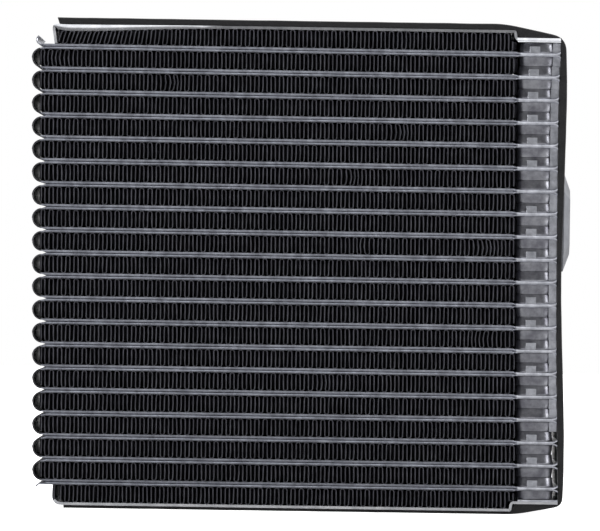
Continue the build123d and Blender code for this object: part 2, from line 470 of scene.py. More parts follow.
# %% [markdown]
# From front to rear, a stamped plate has an edge turned away from the seam, a
# narrow valley where it is brazed to its mate, and the raised passage for the
# refrigerant. It could be a solid with a Solidify modifier, but here both of
# its faces are laid out on one grid: stations along the tube, and this profile
# across it. The sheet has one thickness, apart from the flange by the tank,
# where braze has gathered on the edge and swells it.

# %% Profile of a plate, front to rear
LIP_EASE = 0.4
FIELD_EASE = 0.1
FLANGE_BEVEL = 0.4
FLANGE_SWELL = 0.28
# Distance from the middle of the depth, and lift off the seam as a share of the channel.
PROFILE_HALF = (
    (37.0, 1.0), (36.87, 0.89), (36.7, 0.43), (36.53, 0.08), (36.3, 0.0),
    (33.5, 0.0), (33.1, 0.2), (32.7, 0.75), (32.3, 1.0),
)
PROFILE = [(-y, lift) for y, lift in PROFILE_HALF]
PROFILE += [(y, lift) for y, lift in reversed(PROFILE_HALF)]
print(len(PROFILE), "points across a plate")

# %% [markdown]
# Along the tube, a plate starts with a rolled lip, runs flat through the field
# of fins, closes to a flat flange and ends in a small fishtail. A curve could
# sweep the profile, but the profile itself changes on the way, so each station
# says how much of it is left.

# %% Stations along a plate
LIP_FLATS = 9
# Past the root of the lip, and the lowest lift that is left there.
LIP_FADE = ((0.9, 0.55), (1.8, 0.0))
# Past the end of the field, and the highest lift that is left there.
FIELD_FADE = ((-1.4, 1.0), (-0.6, 0.8), (0.2, 0.4), (1.0, 0.08), (1.8, 0.0))
# Share of the fishtail's run that is left, and how far it has turned up.
FISHTAIL = ((1.0, 0.0), (0.7, 0.12), (0.35, 0.4), (0.0, 0.85))
FISHTAIL_RUN = 2.1
DOWN = (0.0, -1.0)


def lip_stations(radius, sweep, root):
    """The rolled left edge, from its tip to its root."""
    centre = HALF_TUBE + radius
    stations = []
    for step in range(LIP_FLATS, 0, -1):
        turn = math.radians(sweep * step / LIP_FLATS)
        along = (root - radius * math.sin(turn), centre - radius * math.cos(turn))
        stations.append((along, (-math.sin(turn), -math.cos(turn)), 1.0, 1.0, 1.0))
    return stations


def plate_stations(radius, sweep, root):
    """Stations from lip to fishtail: place, sheet normal, lowest and highest lift, width."""
    narrow = FLANGE_DEPTH / HALF_DEPTH
    stations = lip_stations(radius, sweep, root)
    stations.append(((root, HALF_TUBE), DOWN, 1.0, 1.0, 1.0))
    for x, lowest in LIP_FADE:
        stations.append(((x, HALF_TUBE), DOWN, lowest, 1.0, 1.0))
    for past, highest in FIELD_FADE:
        width = 1.0 + (narrow - 1.0) * (1.0 - highest)
        stations.append(((FIELD + past, HALF_TUBE), DOWN, 0.0, highest, width))
    for run, rise in FISHTAIL:
        place = (TAIL_END - run * FISHTAIL_RUN, HALF_TUBE + rise)
        stations.append((place, DOWN, 0.0, 0.0, narrow))
    return stations


BELLOWS_LIP = (HALF_BAY, 90.0, 0.0)
TOP_LIP = (1.7, 150.0, -0.4)
BASE_LIP = (1.9, 62.0, -0.9)
print(len(plate_stations(*BELLOWS_LIP)), "stations along a plate")

# %% [markdown]
# The lift says how far a point of the profile stands off the seam: nothing at
# the brazed rim and at the tank end, and the full channel depth over the
# passage and at the flared lips. That one number shapes the whole stamping.
# A painted mask could part the finishes, but each face can tell from its place
# which finish it takes: painted shade in the bays and the flared lips, the
# flange's lighter metal, which is painted light, or plain brazed metal.

# %% Mesh of a plate
PLATE_FINISHES = (BRAZED, PAINTED_SHADE_PLATE, SHADED_CUP_METAL, LIT_FLANGE_METAL)
BRAZED_FACE, PAINTED_SHADE_FACE, CUP_FACE, FLANGE_FACE = range(len(PLATE_FINISHES))
BAY_SHADE_END = FIELD - 2.0
LIP_SHADE_END = -0.6
FLANGE_START = FIELD + 1.0


def plate_points(stations):
    """Upper and then lower points of a plate, station after station."""
    upper, lower = [], []
    for (x, z), (nx, nz), low_lift, high_lift, width in stations:
        ease = LIP_EASE if x < 0 else FIELD_EASE if x < FIELD else 0.0
        bevel = FLANGE_BEVEL if x > FIELD else 0.0
        swell = FLANGE_SWELL * clamp(x - FIELD)
        for column, (y, lift) in enumerate(PROFILE):
            drop = CHANNEL * (1.0 - (low_lift + (high_lift - low_lift) * lift))
            edge = math.copysign(1.0, y) if column in (0, len(PROFILE) - 1) else 0.0
            upper.append((x, (y - bevel * edge) * width, z - drop + swell))
            lower.append((x + nx * SHEET, (y - ease * edge) * width, z - drop + nz * SHEET))
    return upper + lower


def plate_mesh(radius, sweep, root):
    """Points, faces and finishes of one upper plate, with its seam on z = 0."""
    stations = plate_stations(radius, sweep, root)
    points = plate_points(stations)
    faces = shell_faces(len(stations), len(PROFILE))
    bay_faces = (len(stations) - 1) * (len(PROFILE) - 1)
    bellows = radius == HALF_BAY
    which = []
    for index, face in enumerate(faces):
        x = sum(points[corner][0] for corner in face) / len(face)
        in_bay = index < bay_faces and x < BAY_SHADE_END
        # Painted shade in the bays between the fins and over the whole flared lips.
        if (in_bay and x > 0) or (bellows and (in_bay or x < LIP_SHADE_END)):
            which.append(PAINTED_SHADE_FACE)
        # Painted light on the flange and on the lips of the end plates.
        elif x > FLANGE_START or (x < 0 and not bellows):
            which.append(FLANGE_FACE)
        else:
            which.append(BRAZED_FACE)
    return points, faces, which


print(len(plate_mesh(*BELLOWS_LIP)[1]), "faces in a plate")

# %% [markdown]
# A cup is drawn by a punch with a generous radius, so it flares where it
# leaves the sheet, its wall leans in, and its mouth is rounded over. A bevelled
# block would give only one radius. A stack of rounded rectangles, each a little
# smaller and higher, gives just that form.

# %% Mesh of a drawn cup
CUP_START = FIELD + 0.4
CUP_LENGTH = 16.8
CUP_INSET = 1.0
CUP_GAP = 4.0
CUP_CORNER = 4.4
CORNER_STEPS = 5
CORNER_TAPER = 0.4
CUP_SUNK = 0.3
REAR_CUP_REACH = 0.2
TOP_CUP_RISE, BASE_CUP_RISE = 5.4, 4.8
# How far in from the foot, and how far up.
CUP_STEPS = (
    (-0.75, 0.0), (-0.42, 0.12), (-0.15, 0.4), (0.0, 0.85), (0.15, 2.0),
    (0.3, 3.3), (0.36, 4.2), (0.45, 4.5), (0.7, 4.6),
)


def ring(centre_x, centre_y, half_x, half_y, corner, z):
    """A rounded rectangle, as a loop of points."""
    points = []
    for quarter, (sx, sy) in enumerate(((1, 1), (-1, 1), (-1, -1), (1, -1))):
        for step in range(CORNER_STEPS + 1):
            turn = math.radians(90 * quarter + 90 * step / CORNER_STEPS)
            x = centre_x + sx * (half_x - corner) + corner * math.cos(turn)
            y = centre_y + sy * (half_y - corner) + corner * math.sin(turn)
            points.append((x, y, z))
    return points


def cup_mesh(side, rise):
    """A closed cup on the flange, in front (-1) or behind (1); its foot is sunk in the sheet."""
    width = FLANGE_DEPTH - CUP_INSET - CUP_GAP / 2
    length = CUP_LENGTH + (REAR_CUP_REACH if side > 0 else 0.0)
    centre = (CUP_START + length / 2, side * (CUP_GAP + width) / 2)
    tall = (rise - SHEET) / CUP_STEPS[-1][1]
    steps = ((0.0, -CUP_SUNK / tall), *CUP_STEPS)
    points = []
    for inward, up in steps:
        half_x, half_y = length / 2 - inward, width / 2 - inward
        points += ring(*centre, half_x, half_y, CUP_CORNER - CORNER_TAPER * inward, SHEET + up * tall)
    rows, columns = len(steps), len(points) // len(steps)
    faces = grid_faces(rows, columns, wrap=True)
    faces.append(tuple(range(columns))[::-1])
    faces.append(tuple(range((rows - 1) * columns, rows * columns)))
    # The cups take the darker metal, which is painted shade.
    return points, faces, [CUP_FACE] * len(faces)


print(len(cup_mesh(1, HALF_PITCH)[1]), "faces in a cup")

# %% [markdown]
# A clinch tab holds the two plates together until they are brazed, and beyond
# the cups a bead closes the end of the tank. Both could be bevelled cubes, but
# only their front edges show, so one small block with eased front edges does.

# %% Clinch tab and end bead
TAB_START = CUP_START + 4.9
TAB_LENGTH = 4.6
TAB_BASE, TAB_TOP = 0.4, 3.8
TAB_SETBACK = 0.3
TAB_EASE = 0.06
BEAD_START, BEAD_END = TAIL_END - 3.6, TAIL_END - 0.1
BEAD_SETBACK = 2.1
BEAD_DEPTH = 2.0
BEAD_EASE = 0.08


def slab(low_corner, high_corner, ease):
    """A small block whose front edges are eased."""
    (x0, y0, z0), (x1, y1, z1) = low_corner, high_corner
    points = []
    for y, inset in ((y1, 0.0), (y0 + ease, 0.0), (y0, ease)):
        points += [(x0 + inset, y, z0 + inset), (x1 - inset, y, z0 + inset)]
        points += [(x1 - inset, y, z1 - inset), (x0 + inset, y, z1 - inset)]
    faces = grid_faces(3, 4, wrap=True) + [(0, 1, 2, 3), (11, 10, 9, 8)]
    # Tab and bead take the flange's lighter metal, which is painted light.
    return points, [face[::-1] for face in faces], [FLANGE_FACE] * len(faces)


def clinch_tab():
    front = TAB_SETBACK - FLANGE_DEPTH
    high_corner = (TAB_START + TAB_LENGTH, front + SHEET, TAB_TOP)
    return slab((TAB_START, front, TAB_BASE), high_corner, TAB_EASE)


def end_bead(top):
    """Bead from half way down to the tube below, up to this height over the seam."""
    front = BEAD_SETBACK - FLANGE_DEPTH
    return slab((BEAD_START, front, -HALF_PITCH), (BEAD_END, front + BEAD_DEPTH, top), BEAD_EASE)


print(len(clinch_tab()[1]), "faces in a tab")

# %% [markdown]
# Two plates, four cups and a clinch tab make a tube; from the fourth tube up a
# bead closes its end. The lower plate is the upper one turned over. An Array
# modifier would repeat one tube, but they aren't all alike: the lowest and the
# highest have lips of their own, and a few have no tab, as they carry the
# partitions that send the refrigerant through the core in several passes.

# %% Tubes
PARTITION_TUBES = (4, 10, 14)
OPEN_TUBES = 3
CREEP_RUN = 14.0


def half_tube(lip, rise):
    return join([plate_mesh(*lip), cup_mesh(-1, rise), cup_mesh(1, rise)])


def placed(points, number):
    """Points of a tube set into the stack; only its tank end creeps."""
    seam = seam_height(number)
    start = field_start(number)
    above_middle = seam - MIDDLE_HEIGHT
    creep = drift(above_middle)
    moved = []
    for x, y, z in points:
        crept = creep * clamp((x - FIELD + CREEP_RUN) / CREEP_RUN)
        moved.append((x + start + crept, y, z + seam + settle(x, above_middle + z)))
    return moved


def build_tubes():
    plain = half_tube(BELLOWS_LIP, HALF_PITCH)
    top = half_tube(TOP_LIP, TOP_CUP_RISE)
    base = half_tube(BASE_LIP, BASE_CUP_RISE)
    for number in range(1, TUBE_COUNT + 1):
        is_top = number == TUBE_COUNT
        parts = [top if is_top else plain, turned_over(base if number == 1 else plain)]
        if number not in PARTITION_TUBES:
            parts.append(clinch_tab())
        if number > OPEN_TUBES:
            parts.append(end_bead(TOP_CUP_RISE if is_top else HALF_PITCH))
        points, faces, which = join(parts)
        make_piece(
            f"plates_{number:02d}", placed(points, number), faces, PLATE_FINISHES,
            [f"tube_{number:02d}"], which=which,
        )
    print(f"{TUBE_COUNT} tubes, the top one of {len(faces)} faces")


build_tubes()

# %% [markdown]
# A fin row is one long foil folded to and fro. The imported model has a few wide
# folds; here they stand at their real spacing. The foil is cut into louvres
# near both faces, which shows as a ripple, and each louvre bank turns over
# further in, where the foil swings aside so that no light comes through. An
# image with holes would be lighter, but it would lie flat and hide no light.

# %% Path of a fin row
FIN_PITCH = 1.87
FOIL_SHOWN = 0.2
FIN_SETBACK = 0.5
CREST_TURNS = (35.0, 90.0, 145.0)
NOSE_GAP = 0.25
NOSE_LEAST = 0.5
# Depth, ripple of the louvres, sideways swing, and share of the foil's thickness.
DEPTH_STATIONS = (
    (0.0, 0.25, 0.0, 1.6), (0.9, -0.25, 0.0, 1.0), (2.1, 0.3, 0.0, 1.0), (3.3, -0.3, 0.0, 1.0),
    (4.8, 0.2, 0.2, 1.0), (7.0, 0.0, 2.1, 1.0), (10.5, 0.0, -1.9, 1.0), (36.5, 0.0, 0.4, 1.0),
    (64.0, 0.0, -0.6, 1.0), (67.5, 0.0, 2.0, 1.0), (70.5, 0.2, 0.0, 1.0), (73.0, 0.0, 0.0, 1.0),
)


def leg_reach(x, height, nose):
    """Half height of a leg; inside a flared lip it ends on the lip's curve."""
    if not nose or x >= 0:
        return height
    return math.sqrt(max((HALF_BAY - NOSE_GAP) ** 2 - x * x, NOSE_LEAST)) + height - HALF_BAY + NOSE_GAP


def fin_path(start, end, height, nose):
    """Centre line of the folds as (leg, x, z), left to right."""
    legs = max(2, round((end - start) / FIN_PITCH))
    pitch = (end - start) / legs
    radius = pitch / 2
    path = []
    for leg in range(legs):
        x = start + (leg + 0.5) * pitch
        up = 1 if leg % 2 else -1
        flat = leg_reach(x, height, nose) - radius
        path += [(leg, x, up * flat), (leg, x, 0.0), (leg, x, -up * flat)]
        if leg < legs - 1:
            following = leg_reach(x + pitch, height, nose) - radius
            for turn in CREST_TURNS:
                angle = math.radians(turn)
                level = flat + (following - flat) * turn / 180
                across = x + radius - radius * math.cos(angle)
                path.append((leg + 0.5, across, -up * (level + radius * math.sin(angle))))
    return path


print(len(DEPTH_STATIONS), "stations through the depth")

# %% [markdown]
# Foil this thin never stays straight. Each leg gets a slight lean and bow, and
# in a few places a knock in handling has pushed a clump of legs sideways near
# the front face. A random displacement would put knocks anywhere, so they are
# a short list instead. The largest knock dented the top side plate, and
# slanted the legs below it.

# %% Lean, bow and knocks
FOIL_LEAN, FOIL_BOW = 0.16, 0.3
# Steps through the noise from leg to leg and from row to row, and where it starts.
LEAN_NOISE, BOW_NOISE = (0.35, 7.3, 0.0), (0.22, 3.1, 5.0)
BOWED_ROW = TUBE_COUNT
DEEP_BOW, DEEP_BOW_PLACE, DEEP_BOW_WIDTH = 0.9, 8.0, 8.0
LIP_BOW, LIP_BOW_WIDTH = 0.45, 5.0
# Row, place along it, width and push.
KNOCKS = (
    (19, 58.0, 4.0, 1.1), (17, 161.0, 5.0, 1.0), (15, 139.0, 3.0, 0.9), (12, 146.0, 3.0, -0.8),
    (12, 200.0, 6.0, 1.1), (8, 200.0, 6.0, -1.1), (6, 127.0, 4.0, 0.8),
)
KNOCK_DEPTH = 5.0
KNOCK_WAVE = 0.45
DENT_DEPTH, DENT_PLACE, DENT_WIDTH = 2.0, 15.0, 38.0
DENT_START, DENT_RISE = 5.0, 3.0


def wander(leg, row, steps):
    """Smooth noise from leg to leg, which differs from row to row."""
    along, up, start = steps
    return noise.noise(Vector((leg * along, row * up, start)))


def row_bow(row, x):
    """Bow of the first legs of a row towards the flared lips; it is deepest under the top tube."""
    if x <= 0:
        return 0.0
    if row == BOWED_ROW:
        return -DEEP_BOW * math.exp(-((x - DEEP_BOW_PLACE) / DEEP_BOW_WIDTH) ** 2)
    return -LIP_BOW * math.exp(-x / LIP_BOW_WIDTH)


def knock_push(row, x, deep, z, height):
    """Sideways push of the foil near a knock, which fades a few millimetres in."""
    push = 0.0
    for knock_row, place, width, amount in KNOCKS:
        if knock_row == row:
            near = math.exp(-((x - place) / width) ** 2)
            fade = math.exp(-deep / KNOCK_DEPTH)
            push += amount * near * fade * math.cos(KNOCK_WAVE * math.pi * z / height)
    return push


def dent(x):
    """How far the front edge of the top side plate is pressed down."""
    rising = clamp((x - DENT_START) / DENT_RISE)
    return DENT_DEPTH * rising * math.exp(-((x - DENT_PLACE) / DENT_WIDTH) ** 2)


print(f"{len(KNOCKS)} knocks, and a dent of {dent(DENT_PLACE):.1f} mm")

# %% [markdown]
# The folds are laid out once, on the front face, and then repeated at each
# depth with the ripple and the push that belong there. A Solidify modifier
# could thicken a single surface, but it has trouble with tight folds, so the
# two skins of the foil are set off from the centre line here. The outermost
# rows end under the step of a side plate, and their last legs are lower.

# %% Fin rows
END_ROW_REACH = 2.2
TAIL_TUCK = 0.8
TUCK_START = 4.0
# Where the side plates step down to the tank, from the end of the field.
TOP_STEP, BASE_STEP = 0.45, -1.8
STEP_REACH, STEP_ROOM = 1.6, 0.3
DENT_FADE, DENT_RIM, DENT_SLANT = 1.8, 1.5, 0.55
DENT_HOLD = 0.2


def under_step(row, past_end, z):
    """The last legs of an outermost row stand under the step of the side plate."""
    if row == TOP_ROW and past_end > -STEP_REACH:
        return min(z, STEP_ROOM)
    if row == 1 and past_end > BASE_STEP - STEP_REACH:
        return max(z, -STEP_ROOM)
    return z


def under_dent(x, deep, z, height):
    """Sideways and downward push of the dented side plate on the row below it."""
    pressed = dent(x) * max(0.0, 1.0 - deep / (DENT_FADE * dent(x) + DENT_RIM))
    down = pressed * max(0.0, z / height + DENT_HOLD) / (1.0 + DENT_HOLD)
    return DENT_SLANT * pressed * z / height, down


def front_folds(path, row, height):
    """The folds on the front face: x, bent x, z, normal, and whether the leg is the last."""
    folds = []
    for index, (leg, x, z) in enumerate(path):
        before = path[max(index - 1, 0)]
        after = path[min(index + 1, len(path) - 1)]
        run = Vector((after[1] - before[1], after[2] - before[2])).normalized()
        bow = FOIL_BOW * wander(leg, row, BOW_NOISE) + row_bow(row, x)
        lean = FOIL_LEAN * wander(leg, row, LEAN_NOISE) * z / height
        shift = lean + bow * (1.0 - (z / height) ** 2)
        folds.append((x, x + shift, z, -run.y, run.x, leg == path[-1][0]))
    return folds


def foil_faces(columns, rows):
    """The two skins of the foil, and the strips that close it in front and behind."""
    faces = grid_faces(rows, columns, wrap=True, flip=True)
    last = (rows - 1) * columns
    for index in range(columns // 2 - 1):
        quad = (index, index + 1, columns - 2 - index, columns - 1 - index)
        faces.append(quad)
        faces.append(tuple(last + corner for corner in quad[::-1]))
    return faces


def fin_mesh(row, start, end, middle_z, height, field_x):
    """One row of foil; `field_x` is where the tubes' flat run begins."""
    half = FOIL_SHOWN / 2
    above_middle = middle_z - MIDDLE_HEIGHT
    tail_tuck = TAIL_TUCK + max(drift(above_middle), 0.0)
    path = fin_path(start - field_x, end - field_x, height - half, row not in (1, TOP_ROW))
    folds = front_folds(path, row, height)
    points = []
    for deep, louvre, swing, thick in DEPTH_STATIONS:
        tuck = tail_tuck if deep > TUCK_START else 0.0
        skins = ([], [])
        for x, bent_x, z, nx, nz, is_last in folds:
            upright = 1.0 - (abs(z) / height) ** 4
            push = knock_push(row, x, deep, z, height) if deep < HALF_DEPTH else 0.0
            down = 0.0
            if row == TOP_ROW:
                aside, down = under_dent(x, deep, z, height)
                push += aside
            across = field_x + bent_x + louvre * upright + swing + push
            across = clamp(across, start + half, end + tuck - half)
            if is_last and deep > HALF_DEPTH / 2:
                across = end + tuck - half
            z = under_step(row, across - end, z)
            share = 0.5 - z / height / 2 if row == TOP_ROW else 1.0
            sunk = settle(x, above_middle) * share
            y = deep - HALF_DEPTH + FIN_SETBACK
            for side, skin in zip((half * thick, -half * thick), skins):
                skin.append((across + nx * side, y, middle_z + z - down + sunk + nz * side))
        points += skins[0] + skins[1][::-1]
    return points, foil_faces(2 * len(folds), len(DEPTH_STATIONS))


def build_fins():
    total = 0
    for row in range(1, TOP_ROW + 1):
        low, high = node_box(f"fin_{row:02d}")
        middle, height = (low.z + high.z) / 2, (high.z - low.z) / 2
        field_x = field_start(row) + LEAN * HALF_PITCH
        right = high.x + (END_ROW_REACH if row in (1, TOP_ROW) else 0.0)
        points, faces = fin_mesh(row, low.x, right, middle, height, field_x)
        make_piece(f"foil_{row:02d}", points, faces, (FOIL,), [f"fin_{row:02d}"], smooth_degrees=60.0)
        total += 2 * len(faces)
    print(f"fin rows: about {total} triangles")


build_fins()

# %% [markdown]
# A strip of sheet is bent round a former, so its corners are round and its
# straights stay straight. A curve with bevelled corners would do, but its
# points would be hard to dent later. So a bend is laid out by blending between
# its two straights, and long straights are divided.

# %% Bent outlines


def rounded(points, radii, steps=6):
    """Outline whose inner corners are bent round; each radius goes with one corner."""
    path = [Vector(points[0])]
    for before, corner, after, radius in zip(points, points[1:], points[2:], radii):
        corner = Vector(corner)
        into = (corner - Vector(before)).normalized()
        out = (Vector(after) - corner).normalized()
        reach = radius * math.tan(into.angle(out) / 2)
        start, end = corner - into * reach, corner + out * reach
        for step in range(steps + 1):
            share = step / steps
            path.append(start * (1 - share) ** 2 + corner * (2 * share * (1 - share)) + end * share ** 2)
    path.append(Vector(points[-1]))
    return path


def divided(path, longest):
    """The same outline with no stretch longer than this."""
    finer = [path[0]]
    for here, there in zip(path, path[1:]):
        parts = max(1, math.ceil((there - here).length / longest))
        finer += [here.lerp(there, part / parts) for part in range(1, parts + 1)]
    return finer


def directions(path):
    """Unit direction at each point of an outline."""
    ends = zip([path[0]] + path[:-1], path[1:] + [path[-1]])
    return [(after - before).normalized() for before, after in ends]


print(len(rounded(((0, 0), (10, 0), (10, 10)), (2.0,))), "points on an outline with one bend")

# %% [markdown]
# The side plate is one strip of sheet, bent round the outermost fin row: a
# foot at the left, a long flat, and a step down to the tank. The front edge of
# the top one is dented near its left end, so that a bright slope of its upper
# face shows. Sculpting could press the dent in, but a formula also tells the
# fins below how far they are pushed.

# %% Mesh of a side plate
PLATE_SHEET = 1.2
PLATE_TOP = 10.4
BAR_TOP = 7.0
CAP_START = FIELD + 1.2
# Where the foot stands, and the radius of the bend above it.
TOP_FOOT, BASE_FOOT = (5.7, 2.4), (4.7, 4.5)
FOOT_BASE, FOOT_CORNER = 1.3, 4.3
FOOT_SHADE_END, FOOT_SHADE_TOP = 8.0, PLATE_TOP - 2.5
STEP_RUN = 0.6
STEP_RADII = (1.0, 0.6)
LONGEST_STRAIGHT = 4.0
EDGE_SLANT = 0.65
EDGE_EASE = 0.15
DENTED_FROM = PLATE_TOP - 3
DENT_RUN, DENT_LEAST_RUN = 0.45, 0.1
DENT_CURVE, DENT_FALL = 1.3, 0.85
SHEET_ROWS = (0.0, 0.35, 0.7, 1.0)
DEEP_ROWS = (8.0, 37.0, 70.0, 2 * FLANGE_DEPTH)
SHEET_FINISHES = (SHEET_METAL, PAINTED_SHADE_PLATE)
SHEET_FACE, SHADED_FOOT_FACE = range(len(SHEET_FINISHES))


def strip_rows(x, drop):
    """Rows from the front edge of the strip to its rear: how deep, and how far down."""
    slant = EDGE_SLANT * PLATE_SHEET if x > CAP_START else EDGE_EASE
    run = DENT_RUN * drop + DENT_LEAST_RUN
    rows = [(slant + run * share ** DENT_CURVE, drop * (1 - DENT_FALL * share)) for share in SHEET_ROWS]
    return slant, rows + [(deep, 0.0) for deep in DEEP_ROWS]


def side_plate_mesh(dented):
    """Strip over the top fin row, measured from the last tube's seam."""
    foot, bend = TOP_FOOT if dented else BASE_FOOT
    step = FIELD + (TOP_STEP if dented else BASE_STEP)
    outline = (
        (foot, FOOT_BASE), (FOOT_CORNER, PLATE_TOP), (step, PLATE_TOP),
        (step + STEP_RUN, BAR_TOP), (TAIL_END, BAR_TOP),
    )
    path = divided(rounded(outline, (bend, *STEP_RADII)), LONGEST_STRAIGHT)
    upper, lower = [], []
    for point, along in zip(path, directions(path)):
        inner = point + Vector((along.y, -along.x)) * PLATE_SHEET
        drop = dent(point.x) if dented and point.y > DENTED_FROM else 0.0
        slant, rows = strip_rows(point.x, drop)
        for row, (deep, fall) in enumerate(rows):
            under = deep - slant if row == 0 else deep
            upper.append((point.x, deep - FLANGE_DEPTH, point.y - fall))
            lower.append((inner.x, under - FLANGE_DEPTH, inner.y - fall))
    points = upper + lower
    faces = shell_faces(len(path), len(rows))
    which = []
    for face in faces:
        place = sum((Vector(points[corner]) for corner in face), Vector()) / len(face)
        # Painted shade: the bent foot of the lower side plate takes the darker plate colour.
        unshaded = dented or place.x > FOOT_SHADE_END or place.z > FOOT_SHADE_TOP
        which.append(SHEET_FACE if unshaded else SHADED_FOOT_FACE)
    return points, faces, which


print(len(side_plate_mesh(True)[1]), "faces in a side plate")

# %% [markdown]
# At each end of the tank, a cap of thinner sheet closes the last cups, under
# the side plate's step. The upper cap's front edge is dressed to one slanting
# face with the plate's edge; the lower cap stands further back. A scaled cube
# would do for both, but for that slanting edge.

# %% Side plates and tank caps
CAP_SHEET = 0.7
CAP_RECESS = 1.6
CAP_PROUD = 0.2
SHEET_CREEP_START = FIELD + 2.0


def cap_mesh(dressed):
    """Plate that closes the end cups; a dressed one has its edge in line with the side plate's."""
    high_z = BAR_TOP - PLATE_SHEET
    front = -FLANGE_DEPTH + (-CAP_PROUD if dressed else CAP_RECESS)
    corners = []
    for z, edge in ((high_z - CAP_SHEET, front), (high_z, front + EDGE_SLANT * CAP_SHEET)):
        corners += [(CAP_START, edge, z), (TAIL_END, edge, z)]
        corners += [(TAIL_END, FLANGE_DEPTH, z), (CAP_START, FLANGE_DEPTH, z)]
    faces = [(0, 3, 2, 1), (4, 5, 6, 7), (0, 1, 5, 4), (1, 2, 6, 5), (2, 3, 7, 6), (3, 0, 4, 7)]
    return corners, faces, [SHEET_FACE] * len(faces)


def build_end_sheets():
    for end, number, side in (("top", TUBE_COUNT, 1), ("bottom", 1, -1)):
        creep = drift(side * STACK_HALF)
        start, seam = field_start(number), seam_height(number)
        sheets = (("side_plate", side_plate_mesh(side > 0)), ("tank_cap", cap_mesh(side > 0)))
        for kind, (points, faces, which) in sheets:
            stood = []
            for x, y, z in points:
                crept = creep if x > SHEET_CREEP_START else 0.0
                stood.append((x + start + crept, y, seam + side * z))
            if side < 0:
                faces = [face[::-1] for face in faces]
            make_piece(
                f"{kind}_{end}_sheet", stood, faces, SHEET_FINISHES,
                [f"{kind}_{end}"], which=which,
            )
    print("side plates and caps follow the packed ones")


build_end_sheets()

# %% [markdown]
# The foam is one soft tape, wrapped over the top, down the tank side and under
# the base. It is squeezed thin at half height and swells above and below it.
# Its inner face takes the shape of the metal, its outer face is a loose curve.
# Cloth could be pressed against the core, but firm foam keeps its form, and an
# outline with wide bends gives the same curve.

# %% Outline of the tape
TAPE_TOP, TAPE_BASE = 2.9, 1.4
TAPE_LEFT_TOP, TAPE_LEFT_BASE = 7.0, 9.5
# Height from the upper cap's face, downwards negative, and thickness there.
TAPE_SIDE = ((0.5, 4.0), (-25.8, 4.4), (-113.8, 1.4), (-185.8, 3.0), (-212.4, 2.0))
TAPE_CORNERS = (60.0, 8.0, 450.0, 450.0, 450.0, 5.0, 60.0)
TAPE_HEEL = 3.6
TAPE_GRIP = 0.15
TAPE_BEND_STEPS = 8
TAPE_LONGEST = 2.5
STEP_SLOPE_RUN = 0.9
TOP_FACE = STACK_HALF + PLATE_TOP
CAP_FACE = STACK_HALF + BAR_TOP
WALL = TAIL_END + 0.2


def core_face(x, z):
    """The point of the core's outline that lies under a point of the tape."""
    wall = WALL + drift(z) - TAPE_GRIP
    if x > wall:
        return Vector((wall, clamp(z, -CAP_FACE, CAP_FACE)))
    side = 1 if z > 0 else -1
    step = clamp((x - FIELD - (TOP_STEP if z > 0 else BASE_STEP)) / STEP_SLOPE_RUN)
    return Vector((x, side * (TOP_FACE - step * (TOP_FACE - CAP_FACE))))


def tape_outline():
    """Outer outline of the tape, from its left end on top to its left end under the base."""
    side = [(WALL + thick, CAP_FACE + height) for height, thick in TAPE_SIDE]
    points = [(TAPE_LEFT_TOP, TOP_FACE + TAPE_TOP), (FIELD - TAPE_HEEL, TOP_FACE + TAPE_TOP), *side]
    points += [(FIELD, -TOP_FACE - TAPE_BASE), (TAPE_LEFT_BASE, -TOP_FACE - TAPE_BASE)]
    return divided(rounded(points, TAPE_CORNERS, TAPE_BEND_STEPS), TAPE_LONGEST)


print(len(tape_outline()), "points along the tape")

# %% [markdown]
# The tape is built as a front half and a rear half, which leave room for the
# pad. A Boolean could cut that window, but it would leave ragged faces; here
# each half simply ends at the window's edge. The glue film lies on the inner
# face and round the window, and the faces that look outwards are bare foam.

# %% Foam tape round the core
TAPE_FINISHES = (FOAM, FILM)
FOAM_FACE, FILM_FACE = range(len(TAPE_FINISHES))
TAPE_INSET = 1.6
TAPE_EASE = 0.6
TAPE_EASE_DEPTH = 0.6
TAPE_END_SLANT = 0.9
SECTION_POINTS = 6
FILM_COLUMNS = (3, 4)
SWELL, SWELL_SHY = 0.12, 0.06
SWELL_STEP, SWELL_START = 0.09, 3.0
WINDOW_GAP = 0.6
WINDOW_CORNER = 9.0


def window_edge(z):
    """Half width of the pad's window in the tape at a height, or 0 above and below it."""
    low, high = node_box("valve_pad")
    inside = min(z + MIDDLE_HEIGHT - low.z, high.z - z - MIDDLE_HEIGHT) + WINDOW_GAP
    if inside < 0:
        return 0.0
    return high.y + WINDOW_GAP - max(0.0, WINDOW_CORNER - inside)


def tape_section(inner, outer, toward, side):
    """One loop round half a tape: how far each corner is eased, and its place in the depth."""
    edge = HALF_DEPTH - TAPE_INSET
    middle = window_edge(outer.y) if outer.x > WALL and abs(outer.y) < CAP_FACE else 0.0
    corners = (
        (inner, 1, edge), (outer, -1, edge), (outer, 0, edge - TAPE_EASE),
        (outer, 0, middle), (inner, 0, middle), (inner, 0, edge - TAPE_EASE),
    )
    places = [(point + toward * (shy * TAPE_EASE * TAPE_EASE_DEPTH), y) for point, shy, y in corners]
    return [standing(place.x, side * y, place.y) for place, y in places]


